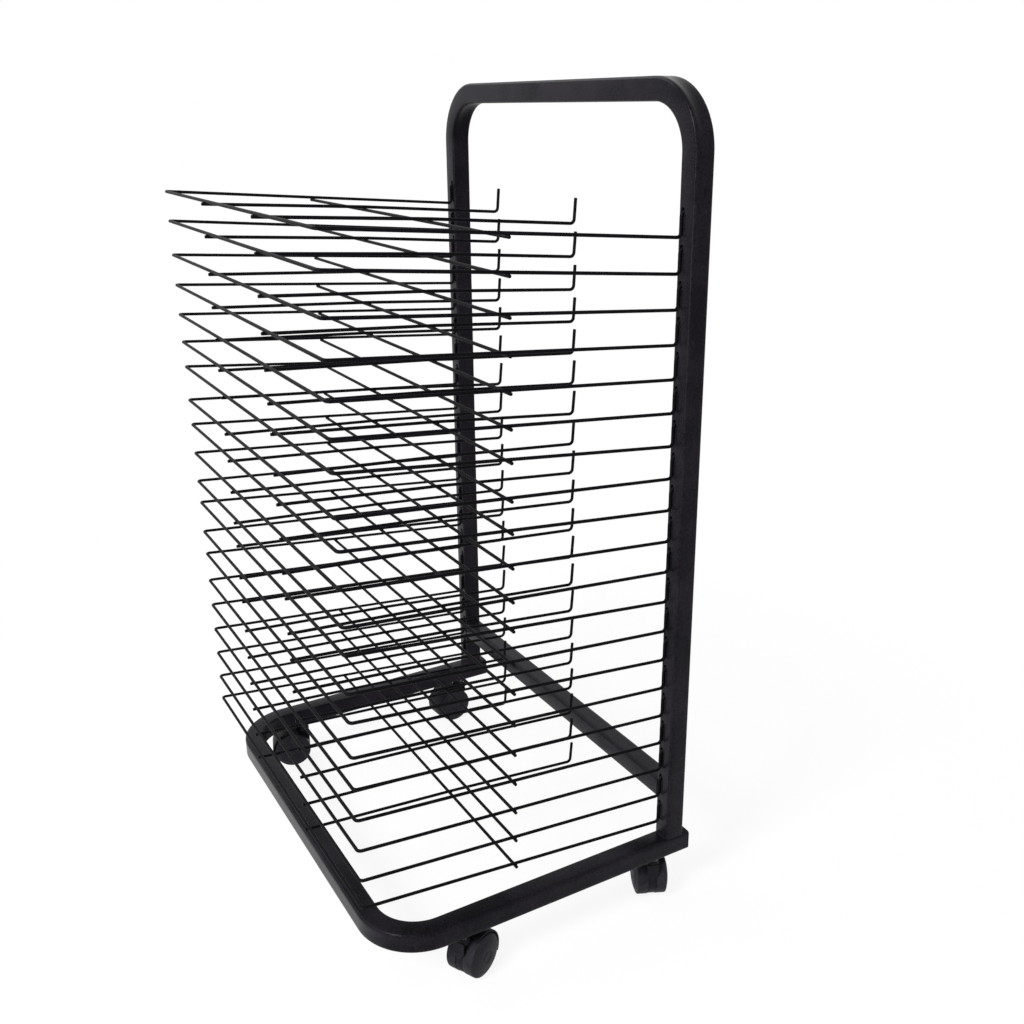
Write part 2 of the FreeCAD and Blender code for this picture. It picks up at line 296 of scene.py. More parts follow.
def buildUpright(setup):
    middle = postFront + setup["size"] / 2 * mm
    top = railTop + (setup["topBar"] - setup["size"] / 2) * mm
    x = setup["postX"] * mm
    route = [Vector((-x, middle, railTop)), Vector((-x, middle, top)),
             Vector((x, middle, top)), Vector((x, middle, railTop))]
    bends = [setup["bend"] * mm] * 2
    arch = squareTube("archTube", route, bends, depthwise, setup["archFlat"], setup)
    # slot punch: a disc pulled apart upwards, turned by half a step so that its sides are flat
    radius = setup["slotWidth"] / 2 * mm
    rotation = (math.pi / 2, math.radians(180.0 / setup["slotSides"]), 0)
    punch = discPiece("slotPunch", (0, 0, 0), rotation, radius, setup["slotSides"])
    bpy.ops.mesh.select_all(action="DESELECT")
    bpy.ops.object.mode_set(mode="OBJECT")
    for vertex in punch.data.vertices:
        vertex.select = vertex.co.z > 0
    bpy.ops.object.mode_set(mode="EDIT")
    bpy.ops.transform.translate(value=upward * (setup["slotHeight"] - setup["slotWidth"]) * mm)
    bpy.ops.mesh.select_all(action="SELECT")
    pushOut(depthwise * (setup["wall"] + setup["cutLead"] + setup["punchPast"]) * mm)
    bpy.ops.object.mode_set(mode="OBJECT")
    settle(punch)
    start = postFront - setup["cutLead"] * mm
    punches = []
    for place in jointPlaces("_lift"):
        low = place.z - setup["slotDrop"] * mm + radius
        for side in (-1, 1):
            spot = Vector((side * setup["slotX"] * mm, start, low))
            punches.append(copyPiece(punch, "slotPunch", spot))
    bpy.data.objects.remove(punch, do_unlink=True)
    combine(arch, joinPieces(punches), "DIFFERENCE")
    return settle(arch)


def buildBase(setup):
    z = railTop - setup["size"] / 2 * mm
    rear = postFront + setup["railRear"] * mm
    front = postFront - (setup["railFront"] - setup["size"] / 2) * mm
    x = setup["postX"] * mm
    route = [Vector((-x, rear, z)), Vector((-x, front, z)),
             Vector((x, front, z)), Vector((x, rear, z))]
    bends = [setup["bend"] * mm] * 2
    base = squareTube("baseTube", route, bends, upward, setup["baseFlat"], setup)
    start = railTop - setup["size"] * mm - setup["cutLead"] * mm
    drills = []
    for place in jointPlaces("_swivel"):
        foot = Vector((place.x, place.y, start))
        top = foot + upward * (setup["insertDepth"] + setup["cutLead"]) * mm
        drills.append(roundBar("insertDrill", foot, top, setup["insertRadius"] * mm))
    combine(base, joinPieces(drills), "DIFFERENCE")
    return settle(base)


def buildCrossbar(setup):
    low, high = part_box("rear_crossbar")
    middle = (low + high) / 2
    route = [Vector((low.x, middle.y, middle.z)), Vector((high.x, middle.y, middle.z))]
    return settle(squareTube("crossbarTube", route, [], depthwise, 0.0, setup))


archTube = buildUpright(frameTube)
baseTube = buildBase(frameTube)
crossbarTube = buildCrossbar(frameTube)
tubePieces = {"upright_frame": archTube, "base_frame": baseTube, "rear_crossbar": crossbarTube}
for node, piece in tubePieces.items():
    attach(piece, "frame")
    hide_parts(node)
print("tubes bent, punched and drilled")

weldBead = {
    "radius": 1.5,
    "run": 15.0,        # along the flat of the tube
    "ripple": 1.5,      # one ripple of the bead
    "sides": 12,
    "tip": 0.5,         # share of the radius that the bead starts with
    "first": 1.85,      # how much each third of a ripple swells or shrinks
    "rise": 1.22,
    "crest": 1.08,
    "fall": 0.76,
    "last": 0.5,
}


def weldRun(middle, along, setup):
    # a row of overlapping ripples between two tubes
    start = middle - along * setup["run"] / 2 * mm
    radius = setup["radius"] * setup["tip"] * mm
    bead = discPiece("weldRun", start, facing(along), radius, setup["sides"])
    ripples = round(setup["run"] / setup["ripple"])
    feed = along * setup["run"] / ripples / 3 * mm
    place = start.copy()
    for i in range(ripples):
        rise = setup["first" if i == 0 else "rise"]
        fall = setup["last" if i == ripples - 1 else "fall"]
        for swell in (rise, setup["crest"], fall):
            pushOut(feed)
            place += feed
            bpy.ops.transform.resize(value=(swell, swell, swell), center_override=place)
    return settle(bead, smoothAngle=60.0)


beads = []
crossLow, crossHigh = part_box("rear_crossbar")
crossY = (crossLow.y + crossHigh.y) / 2
for side in (-1, 1):
    postX = side * frameTube["postX"] * mm
    inner = side * (frameTube["postX"] - frameTube["size"] / 2) * mm
    for y in (postFront, postFront + frameTube["size"] * mm):
        beads.append(weldRun(Vector((postX, y, railTop)), sideways, weldBead))
    for z in (crossLow.z, crossHigh.z):
        beads.append(weldRun(Vector((inner, crossY, z)), depthwise, weldBead))
welds = joinPieces(beads)
welds.name = "weldBeads"
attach(welds, "frame")
print("weld beads:", len(beads))

endPlug = {
    "lip": 2.0,
    "rimRounding": 0.6,
    "rimAngle": 50.0,
    "dish": 0.5,
    "dishSize": 13.2,
    "dishFloor": 12.2,
    "body": 10.0,
    "bodySize": 16.9,
    "seatZone": 0.1,        # the face that the body grows from lies this near to the tube's end
}


def stepIn(size, newSize, middle, depth):
    # the selected end face shrinks towards its middle, and moves along Y by the depth
    pushOut(depthwise * depth * mm)
    share = newSize / size
    bpy.ops.transform.resize(value=(share, 1.0, share), center_override=middle)


def buildPlug(x, setup, tube):
    z = railTop - tube["size"] / 2 * mm
    seat = postFront + tube["railRear"] * mm
    innerFace = Vector((x, seat, z))
    plug = tubeOutline("endPlug", innerFace, depthwise, tube)
    pushOut(depthwise * setup["lip"] * mm)
    outerFace = Vector((x, seat + setup["lip"] * mm, z))
    stepIn(tube["size"], setup["dishSize"], outerFace, 0.0)
    stepIn(setup["dishSize"], setup["dishFloor"], outerFace, -setup["dish"])
    settle(plug)
    inwards = squareTo(-depthwise)
    limit = seat + setup["seatZone"] * mm
    selectFaces(plug, lambda face: inwards(face) and face.center.y < limit)
    stepIn(tube["size"], setup["bodySize"], innerFace, 0.0)
    pushOut(depthwise * -setup["body"] * mm)
    settle(plug)
    applyModifier(plug, "BEVEL", width=setup["rimRounding"] * mm, segments=roundSteps,
                  limit_method="ANGLE", angle_limit=math.radians(setup["rimAngle"]))
    return settle(plug)


plugPieces = [buildPlug(side * frameTube["postX"] * mm, endPlug, frameTube) for side in (-1, 1)]
plugs = joinPieces(plugPieces)
plugs.name = "endPlugs"
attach(plugs, "frame")
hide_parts("rail_end_plugs")
print("end plugs done")

wireShelf = {
    "radius": 1.5,
    "sides": 16,
    "stepAngle": 10.0,
    "sideX": 211.0,
    "depth": 315.0,         # leg to front wire along the slope
    "legGap": 0.1,          # between the hook's leg and the post's front face
    "hookGap": 0.1,         # between the hook's tip and the inside of that wall
    "hookRise": 20.0,       # hinge line above the foot of the leg
    "tipLength": 5.5,
    "neckBend": 2.5,
    "legBend": 3.5,
    "cornerBend": 3.5,
    "weld": 0.3,            # how far two wires sink into each other
    "nugget": 1.9,          # radius of the bead at a weld
    "nuggetSegments": 12,
    "nuggetRings": 8,
    "nuggetSquash": 0.62,
    "crossAt": 164.0,       # cross wire from the leg
    "crossEnd": 3.2,        # its ends past the side wires
    "innerX": (77.0, -68.0),
    "stub": 3.0,            # inner wires past the front wire
    "stopAt": 19.0,         # the turned up rear ends that stop a sheet
    "stopHeight": 22.8,
    "stopBend": 4.0,
    "kinkBend": 100.0,
    "endRounding": 0.45,
    "endSteps": 2,
}
# the hooks are not all bent alike, so the slopes in degrees differ a little
shelfSlopes = {
    5.1: (7, 12, 14, 20),
    4.7: (2, 9, 15, 16, 17, 18, 19),
    4.4: (1, 6, 10, 13),
    4.1: (3, 4, 5, 8, 11),
}


def wireRod(name, route, bends, setup):
    heading = facing(route[1] - route[0])
    rod = discPiece(name, route[0], heading, setup["radius"] * mm, setup["sides"])
    followRoute(route, [bend * mm for bend in bends], setup["stepAngle"])
    settle(rod)
    selectFaces(rod, lambda face: len(face.vertices) == setup["sides"])
    bpy.ops.mesh.bevel(offset=setup["endRounding"] * mm, segments=setup["endSteps"])
    bpy.ops.object.mode_set(mode="OBJECT")
    return rod


def slopePoint(x, along, lift, slope, setup):
    # along the slope from the hook leg, lift square to it
    angle = math.radians(slope)
    y = -setup["radius"] - setup["legGap"] - along * math.cos(angle) + lift * math.sin(angle)
    return Vector((x, y, along * math.sin(angle) + lift * math.cos(angle))) * mm


def buildShelf(slope, setup):
    tipY = frameTube["wall"] + setup["radius"] + setup["hookGap"]
    legY = -setup["radius"] - setup["legGap"]
    neckHalf = (tipY - legY) / 2
    rise = setup["hookRise"]
    route = []
    for x in (-setup["sideX"], setup["sideX"]):
        hook = [
            Vector((x, tipY, rise + neckHalf + setup["tipLength"])) * mm,
            Vector((x, tipY, rise + neckHalf)) * mm,
            Vector((x, legY, rise - neckHalf)) * mm,
            slopePoint(x, 0, 0, slope, setup),
            slopePoint(x, setup["depth"], 0, slope, setup),
        ]
        route += hook if x < 0 else hook[::-1]
    bends = [setup["neckBend"], setup["neckBend"], setup["legBend"], setup["cornerBend"]]
    shelf = wireRod("rimWire", route, bends + bends[::-1], setup)
    drop = setup["weld"] - 2 * setup["radius"]
    reach = setup["sideX"] + setup["crossEnd"]
    crossRoute = [slopePoint(x, setup["crossAt"], drop, slope, setup) for x in (-reach, reach)]
    innerBends = [setup["stopBend"], setup["kinkBend"]]
    combine(shelf, wireRod("crossWire", crossRoute, [], setup))
    run = setup["depth"] - setup["crossAt"]
    for x in setup["innerX"]:
        innerRoute = [slopePoint(x, along, lift, slope, setup) for along, lift in (
            (setup["stopAt"], setup["stopHeight"]),
            (setup["stopAt"], 0),
            (setup["crossAt"], 0),
            (setup["depth"] + setup["stub"], drop * (run + setup["stub"]) / run),
        )]
        combine(shelf, wireRod("innerWire", innerRoute, innerBends, setup))
    crossings = [slopePoint(x, setup["crossAt"], drop / 2, slope, setup)
                 for x in setup["innerX"] + (-setup["sideX"], setup["sideX"])]
    crossings += [slopePoint(x, setup["depth"], drop / 2, slope, setup) for x in setup["innerX"]]
    for place in crossings:
        deselectAll()
        bpy.ops.mesh.primitive_uv_sphere_add(
            segments=setup["nuggetSegments"], ring_count=setup["nuggetRings"],
            radius=setup["nugget"] * mm, location=place, scale=(1.0, 1.0, setup["nuggetSquash"]))
        nugget = startPiece("weldNugget")
        bpy.ops.object.mode_set(mode="OBJECT")
        combine(shelf, nugget)
    return settle(shelf, smoothAngle=50.0)


wirePieces = []
for slope, numbers in shelfSlopes.items():
    pattern = buildShelf(slope, wireShelf)
    for number in numbers:
        node = "shelf_{:02d}".format(number)
        lift = jointPlace[node + "_lift"].z - wireShelf["hookRise"] * mm
        shift = Vector((0, postFront, lift))
        piece = copyPiece(pattern, "wireShelf_{:02d}".format(number), shift)
        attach(piece, node)
        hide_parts(node)
        wirePieces.append(piece)
    bpy.data.objects.remove(pattern, do_unlink=True)
print("wire shelves:", len(wirePieces))

castor = {
    "wheelRadius": 21.0,
    "trail": 13.5,          # axle behind the swivel axis
    "hoodGap": 1.0,
    "hoodThickness": 1.8,
    "hoodHalf": 13.8,
    "hoodStart": -24.0,     # degrees up from level behind the axle
    "hoodSpan": 132.0,
    "hoodStep": 5.5,
    "hoodRounding": 0.55,
    "finHalf": 3.85,
    "finInner": 18.0,
    "finRounding": 0.3,
    "webHalf": 4.0,
    "webRadius": 20.6,
    "webRounding": 0.1,
    "webSides": 96,
    "collarRadius": 7.0,
    "collarHeight": 6.0,
    "collarTop": 47.0,
    "collarRounding": 0.6,
    "taperHeight": 3.2,     # the collar narrows over this height to the two shares below
    "taperLong": 0.58,
    "taperWide": 0.52,
    "neck": {"front": -6.4, "back": 6.0, "foot": 25.0, "top": 44.0, "half": 3.7, "footHalf": 3.7},
    # a plate ahead of the neck that ends in a blunt V
    "shield": {"front": -7.5, "back": -5.8, "foot": 25.0, "top": 33.0, "half": 6.2,
               "footHalf": 0.8},
    "blockRounding": 0.45,
    "pinRadius": 3.03,
    "pinFoot": 27.5,
    "pinTop": 60.0,         # above the collar, so the bore is open there
    "boreSides": 40,
    "axleRadius": 2.5,
    "axlePast": 1.0,        # the axle's bore is cut this far past the web
    "boreRadius": 2.55,
    "boreEnd": 15.7,
    "wheelInner": 4.15,
    "tread": 13.2,
    "shoulder": 1.7,
    "faceOut": 17.6,
    "faceRadius": 9.0,
    "domeRise": 0.4,
    "rim": 3.0,
    "rimFloor": 1.0,
    "hubRadius": 6.0,
    "hubChamfer": 0.3,
    "floorChamfer": 0.6,
    "lipChamfer": 0.2,
    "treadChamfer": 0.15,
    "treadMiddle": 0.04,    # middle point of that chamfer
    "treadLoop": 0.2,       # loop ahead of the tread's end, which keeps it flat
    "shoulderStart": (0.13, 0.38),      # mm under the tread, and share of the shoulder past it
    "shoulderEnd": (0.62, 0.92),        # both as shares of the shoulder
    "outerLoops": (18.4, 17.5, 16.6),   # radii of loops across the dome
    "innerLoops": (13.6, 12.2, 10.6),
    "grooveRadius": 15.4,   # shallow ring round the outer face
    "grooveMouth": 0.55,    # half of its width, at the face and at its floor
    "grooveFloor": 0.3,
    "grooveDepth": 0.2,
    "capRadius": 5.2,
    "capMouth": 0.5,
    "capFloor": 0.2,
    "capDepth": 0.4,
    "capSink": 0.05,
    "axisGap": 0.001,       # the lathe's ends stop this far from the axis and are merged there
    "wheelSteps": 72,
}


def sectorPiece(name, inner, outer, half, rounding, setup):
    # part of a ring round the axle, from the hood's start over its span
    axle = Vector((setup["trail"], 0, setup["wheelRadius"])) * mm
    start = math.radians(setup["hoodStart"])
    radial = Vector((math.cos(start), 0, math.sin(start)))
    middle = axle + radial * (inner + outer) / 2 * mm
    deselectAll()
    bpy.ops.mesh.primitive_plane_add(size=2 * half * mm, location=middle, rotation=(0, -start, 0))
    piece = startPiece(name)
    squeeze = (outer - inner) / (2 * half)
    bpy.ops.object.mode_set(mode="OBJECT")
    for vertex in piece.data.vertices:
        arm = vertex.co - middle
        vertex.co -= radial * arm.dot(radial) * (1 - squeeze)
    bpy.ops.object.mode_set(mode="EDIT")
    bpy.ops.mesh.select_all(action="SELECT")
    bpy.ops.mesh.bevel(offset=rounding * mm, segments=roundSteps, affect="VERTICES")
    bpy.ops.mesh.select_all(action="SELECT")
    steps = round(setup["hoodSpan"] / setup["hoodStep"])
    angle = -math.radians(setup["hoodSpan"]) * spinSense
    bpy.ops.mesh.spin(steps=steps, angle=angle, center=axle, axis=depthwise)
    return settle(piece)


def bossBlock(name, span, rounding):
    # an upright block that may be narrower at its foot
    middle = Vector(((span["front"] + span["back"]) / 2, 0, (span["foot"] + span["top"]) / 2)) * mm
    size = (span["back"] - span["front"], 2 * span["half"], span["top"] - span["foot"])
    deselectAll()
    bpy.ops.mesh.primitive_cube_add(size=mm, location=middle)
    block = startPiece(name)
    bpy.ops.transform.resize(value=size, center_override=middle)
    bpy.ops.mesh.select_all(action="DESELECT")
    bpy.ops.object.mode_set(mode="OBJECT")
    for vertex in block.data.vertices:
        vertex.select = vertex.co.z < middle.z
    bpy.ops.object.mode_set(mode="EDIT")
    narrowing = (1.0, span["footHalf"] / span["half"], 1.0)
    bpy.ops.transform.resize(value=narrowing, center_override=middle)
    bpy.ops.mesh.select_all(action="SELECT")
    bpy.ops.mesh.bevel(offset=rounding * mm, segments=roundSteps)
    return settle(block)


def buildHood(setup):
    # swivel axis on Z, wheels trail to +X
    axle = Vector((setup["trail"], 0, setup["wheelRadius"])) * mm
    inner = setup["wheelRadius"] + setup["hoodGap"]
    outer = inner + setup["hoodThickness"]
    middle = outer - setup["hoodThickness"] / 2
    hood = sectorPiece("hoodShell", inner, outer, setup["hoodHalf"], setup["hoodRounding"], setup)
    combine(hood, sectorPiece("hoodFin", setup["finInner"], middle, setup["finHalf"],
                              setup["finRounding"], setup))
    half = depthwise * setup["webHalf"] * mm
    web = roundBar("hoodWeb", axle - half, axle + half, setup["webRadius"] * mm, setup["webSides"])
    selectFaces(web, squareTo(depthwise, -depthwise))
    bpy.ops.mesh.bevel(offset=setup["webRounding"] * mm, segments=roundSteps)
    settle(web)
    combine(hood, web)
    collarTop = upward * setup["collarTop"] * mm
    collarFoot = upward * (setup["collarTop"] - setup["collarHeight"]) * mm
    collar = roundBar("hoodCollar", collarFoot, collarTop, setup["collarRadius"] * mm)
    selectFaces(collar, squareTo(-upward))
    pushOut(upward * -setup["taperHeight"] * mm)
    taper = (setup["taperLong"], setup["taperWide"], 1.0)
    bpy.ops.transform.resize(value=taper, center_override=collarFoot)
    settle(collar)
    selectFaces(collar, squareTo(upward))
    bpy.ops.mesh.bevel(offset=setup["collarRounding"] * mm, segments=roundSteps)
    settle(collar)
    combine(hood, bossBlock("hoodNeck", setup["neck"], setup["blockRounding"]))
    shield = bossBlock("hoodShield", setup["shield"], setup["blockRounding"])
    selectFaces(shield, squareTo(upward))
    pushOut(upward * (setup["neck"]["top"] - setup["shield"]["top"]) * mm)
    combine(hood, settle(shield))
    combine(hood, collar)
    pinFoot = upward * setup["pinFoot"] * mm
    pinTop = upward * setup["pinTop"] * mm
    sides = setup["boreSides"]
    combine(hood, roundBar("pinBore", pinFoot, pinTop, setup["pinRadius"] * mm, sides),
            "DIFFERENCE")
    reach = depthwise * (setup["webHalf"] + setup["axlePast"]) * mm
    combine(hood, roundBar("axleBore", axle - reach, axle + reach, setup["axleRadius"] * mm, sides),
            "DIFFERENCE")
    return settle(hood)


def buildWheel(setup):
    # nylon wheel turned on a lathe: flat tread, domed face with a shallow ring and a centre cap
    radius = setup["wheelRadius"]
    inner = setup["wheelInner"]
    tread = setup["tread"]
    bore = setup["boreRadius"]
    hub = setup["hubRadius"]
    shoulder = setup["shoulder"]
    diagonal = shoulder / math.sqrt(2)
    hollow = radius - setup["rim"]
    hollowEnd = tread - setup["rimFloor"]
    faceEdge = radius - shoulder

    def dome(r):
        share = (faceEdge - r) / (faceEdge - setup["faceRadius"])
        straight = tread + shoulder + (setup["faceOut"] - tread - shoulder) * share
        # the parabola is 1 halfway
        return straight + setup["domeRise"] * 4 * share * (1 - share)

    chamfer = setup["hubChamfer"]
    rows = [
        (setup["axisGap"], setup["boreEnd"]), (bore, setup["boreEnd"]),
        (bore, inner + chamfer), (bore + chamfer, inner),
        (hub - chamfer, inner), (hub, inner + chamfer),
    ]
    chamfer = setup["floorChamfer"]
    lip = setup["lipChamfer"]
    rows += [
        (hub, hollowEnd - chamfer), (hub + chamfer, hollowEnd),
        (hollow - chamfer, hollowEnd), (hollow, hollowEnd - chamfer),
        (hollow, inner + lip), (hollow + lip, inner),
    ]
    edge = setup["treadChamfer"]
    middle = setup["treadMiddle"]
    dip, dipShare = setup["shoulderStart"]
    downShare, alongShare = setup["shoulderEnd"]
    rows += [
        (radius - edge, inner), (radius - middle, inner + middle), (radius, inner + edge),
        (radius, tread - setup["treadLoop"]), (radius, tread),
        (radius - dip, tread + shoulder * dipShare),
        (radius - shoulder + diagonal, tread + diagonal),
        (radius - shoulder * downShare, tread + shoulder * alongShare),
    ]
    groove = setup["grooveRadius"]
    mouth = setup["grooveMouth"]
    floor = setup["grooveFloor"]
    depth = setup["grooveDepth"]
    rows += [(r, dome(r)) for r in (faceEdge, *setup["outerLoops"], groove + mouth)]
    rows += [(groove + floor, dome(groove) - depth), (groove - floor, dome(groove) - depth)]
    rows += [(r, dome(r)) for r in (groove - mouth, *setup["innerLoops"], setup["faceRadius"])]
    out = setup["faceOut"]
    cap = setup["capRadius"]
    mouth = setup["capMouth"]
    floor = setup["capFloor"]
    depth = setup["capDepth"]
    rows += [
        (cap + mouth, out), (cap + floor, out - depth), (cap - floor, out - depth),
        (cap - mouth, out - setup["capSink"]), (setup["axisGap"], out),
    ]
    profile = [Vector((r, y, 0)) * mm for r, y in rows]
    return turnedPiece("castorWheel", profile, depthwise, setup["wheelSteps"])


hoodPattern = buildHood(castor)
wheelPattern = buildWheel(castor)
wheelPieces = []
hoodPieces = []
for name in ("right_front", "right_rear", "left_front", "left_rear"):
    swivel = jointPlace["castor_" + name + "_swivel"]
    axlePlace = jointPlace["wheels_" + name + "_roll"]
    turn = math.atan2(axlePlace.y - swivel.y, axlePlace.x - swivel.x)
    foot = Vector((swivel.x, swivel.y, 0))
    hood = copyPiece(hoodPattern, "castorHood_" + name, foot, turn)
    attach(hood, "castor_" + name)
    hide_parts("castor_hood_" + name)
    hoodPieces.append(hood)
    pair = [copyPiece(wheelPattern, "castorWheels_" + name, axlePlace, turn),
            copyPiece(wheelPattern, "wheelTwin", axlePlace, turn + math.pi)]
    wheels = joinPieces(pair)
    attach(wheels, "wheels_" + name)
    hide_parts("castor_wheels_" + name)
    wheelPieces.append(wheels)
bpy.data.objects.remove(hoodPattern, do_unlink=True)
bpy.data.objects.remove(wheelPattern, do_unlink=True)
print("castors:", len(hoodPieces))


def linearColour(code):
    # sRGB hex to the linear values that shaders work in
    parts = [int(code[i:i + 2], 16) / 255 for i in (1, 3, 5)]
    linear = [p / 12.92 if p <= 0.04045 else ((p + 0.055) / 1.055) ** 2.4 for p in parts]
    return (*linear, 1.0)


def addNode(tree, kind, settings=None, links=None):
    node = tree.nodes.new(kind)
    # settings are sockets by name or number, or else the node's own properties
    for key, value in (settings or {}).items():
        if isinstance(key, int) or key in node.inputs:
            node.inputs[key].default_value = value
        else:
            setattr(node, key, value)
    for key, source in (links or {}).items():
        tree.links.new(source, node.inputs[key])
    return node


def fillRamp(node, stops):
    for element, (place, colour) in zip(node.color_ramp.elements, stops):
        element.position = place
        element.color = colour
    return node.outputs["Color"]


# how the two noises act in every finish
coatNoise = {
    "cloudDetail": 4.0,
    "grainDetail": 2.0,
    "deepAt": 0.16,         # the product of both noises runs from the deep to the pale colour
    "paleAt": 0.34,
    "roughFrom": 0.3,       # the cloud noise between these gives the roughness
    "roughTo": 0.7,
    "bump": 0.5,
}


def noiseScale(size):
    # the scale at which the noise has a grain of this many millimetres
    return 1.0 / (size * mm)


finishes = {
    # polyester powder coat, satin black: sprayed and baked, so it is even with a fine orange peel;
    # its lighter edge colour is partly edge wear and partly a painted highlight along the rounded
    # edges
    "powderCoatTube": {
        "deep": "#09080b", "pale": "#1a181d", "wearAndHighlight": "#38363b", "cloud": 40.0, "grain": 1.6,
        "grainDepth": 0.03, "roughLow": 0.24, "roughHigh": 0.32, "edgeFrom": 0.53, "edgeTo": 0.62,
        "edgeShare": 0.3, "specular": 0.105, "tint": "#b8aec2", "metallic": 0.0,
    },
    # the same coat on drawn wire: thinner, so the round wire keeps a narrow dull shine
    "powderCoatWire": {
        "deep": "#08080a", "pale": "#0e0e10", "wearAndHighlight": "#2a2a2e", "cloud": 30.0, "grain": 1.5,
        "grainDepth": 0.02, "roughLow": 0.42, "roughHigh": 0.5, "edgeFrom": 0.6, "edgeTo": 0.7,
        "edgeShare": 0.1, "specular": 0.035, "tint": "#f4f0ff", "metallic": 0.0,
    },
    # injection moulded polypropylene, black with a fine spark grain
    "mouldedPolypropylene": {
        "deep": "#0c0b0e", "pale": "#121115", "wearAndHighlight": "#2e2e32", "cloud": 18.0, "grain": 0.9,
        "grainDepth": 0.05, "roughLow": 0.45, "roughHigh": 0.6, "edgeFrom": 0.54, "edgeTo": 0.66,
        "edgeShare": 0.2, "specular": 0.1, "tint": "#f4f0ff", "metallic": 0.0,
    },
    # glass filled nylon wheels, a lighter grey than the hood, greyer still at their edges
    "rolledNylon": {
        "deep": "#131216", "pale": "#222126", "wearAndHighlight": "#38383c", "cloud": 7.0, "grain": 0.9,
        "grainDepth": 0.06, "roughLow": 0.45, "roughHigh": 0.65, "edgeFrom": 0.52, "edgeTo": 0.62,
        "edgeShare": 0.3, "specular": 0.12, "tint": "#f4f0ff", "metallic": 0.0,
    },
    # black passivated zinc plate on turned steel
    "blackZincPlate": {
        "deep": "#2c2c2f", "pale": "#3c3c40", "wearAndHighlight": "#77777c", "cloud": 6.0, "grain": 0.5,
        "grainDepth": 0.03, "roughLow": 0.3, "roughHigh": 0.45, "edgeFrom": 0.52, "edgeTo": 0.6,
        "edgeShare": 0.5, "specular": 0.5, "tint": "#ffffff", "metallic": 1.0,
    },
}


def buildFinish(name, values, noise):
    material = bpy.data.materials.new(name)
    material.use_nodes = True
    tree = material.node_tree
    shader = tree.nodes["Principled BSDF"]
    place = addNode(tree, "ShaderNodeTexCoord").outputs["Object"]
    cloud = addNode(tree, "ShaderNodeTexNoise",
                    {"Scale": noiseScale(values["cloud"]), "Detail": noise["cloudDetail"]},
                    {"Vector": place})
    grain = addNode(tree, "ShaderNodeTexNoise",
                    {"Scale": noiseScale(values["grain"]), "Detail": noise["grainDetail"]},
                    {"Vector": place})
    speckle = addNode(tree, "ShaderNodeMath", {"operation": "MULTIPLY"},
                      {0: cloud.outputs["Fac"], 1: grain.outputs["Fac"]})
    tint = fillRamp(addNode(tree, "ShaderNodeValToRGB", links={"Fac": speckle.outputs["Value"]}),
                    [(noise["deepAt"], linearColour(values["deep"])),
                     (noise["paleAt"], linearColour(values["pale"]))])
    # convex edges found by pointiness get the lighter edge colour: partly wear of the coat, partly
    # a painted highlight along rounded edges
    edge = addNode(tree, "ShaderNodeMapRange",
                   {"From Min": values["edgeFrom"], "From Max": values["edgeTo"],
                    "To Max": values["edgeShare"]},
                   {"Value": addNode(tree, "ShaderNodeNewGeometry").outputs["Pointiness"]})
    patchy = addNode(tree, "ShaderNodeMath", {"operation": "MULTIPLY"},
                     {0: edge.outputs["Result"], 1: grain.outputs["Fac"]})
    colour = addNode(tree, "ShaderNodeMixRGB", {"Color2": linearColour(values["wearAndHighlight"])},
                     {"Fac": patchy.outputs["Value"], "Color1": tint})
    rough = addNode(tree, "ShaderNodeMapRange",
                    {"From Min": noise["roughFrom"], "From Max": noise["roughTo"],
                     "To Min": values["roughLow"], "To Max": values["roughHigh"]},
                    {"Value": cloud.outputs["Fac"]})
    bump = addNode(tree, "ShaderNodeBump",
                   {"Strength": noise["bump"], "Distance": values["grainDepth"] * mm},
                   {"Height": grain.outputs["Fac"]})
    shader.inputs["Specular IOR Level"].default_value = values["specular"]
    shader.inputs["Specular Tint"].default_value = linearColour(values["tint"])
    shader.inputs["Metallic"].default_value = values["metallic"]
    tree.links.new(colour.outputs["Color"], shader.inputs["Base Color"])
    tree.links.new(rough.outputs["Result"], shader.inputs["Roughness"])
    tree.links.new(bump.outputs["Normal"], shader.inputs["Normal"])
    return material


finish = {name: buildFinish(name, values, coatNoise) for name, values in finishes.items()}


def coat(piece, material):
    if piece.material_slots:
        for slot in piece.material_slots:
            slot.material = material
    else:
        piece.data.materials.append(material)


for piece in list(tubePieces.values()) + [welds]:
    coat(piece, finish["powderCoatTube"])
for piece in wirePieces:
    coat(piece, finish["powderCoatWire"])
for piece in hoodPieces + [plugs]:
    coat(piece, finish["mouldedPolypropylene"])
for piece in wheelPieces:
    coat(piece, finish["rolledNylon"])
# the CAD pieces that still show are the axles, inserts and stems
for node, piece in frame["nodes"].items():
    steel = node.startswith("castor_axle") or node in ("castor_inserts", "castor_stems")
    coat(piece, finish["blackZincPlate" if steel else "powderCoatWire"])
print("finishes:", ", ".join(finish))

studio = {
    "floorSize": 16.0,
    "floorCuts": 7,
    "floorColour": "#fafafa",
    "paperRoughness": 0.9,
    "paperSpecular": 0.1,
    "shadowShare": 0.12,    # how much of the floor's own shading the camera sees near the rack
    "shadowNear": 0.45,     # further out than this it fades, to plain white at shadowFar
    "shadowFar": 0.9,
    "worldStrength": 0.45,
    "keyPlace": (1.0, -2.5, 2.3),
    "keySize": 0.9,
    "keyPower": 108.0,
    "fillPlace": (-1.6, -0.9, 2.2),
    "fillSize": 1.8,
    "fillPower": 25.0,
    "rimPlace": (1.3, -2.1, 0.4),    # low and weak, it draws a line along the upright edges
    "rimSize": 0.5,
    "rimPower": 16.0,
    "aim": (0.0, 0.0, 0.45),
}


def lookAt(place, aim):
    return (Vector(aim) - Vector(place)).to_track_quat("-Z", "Y").to_euler()


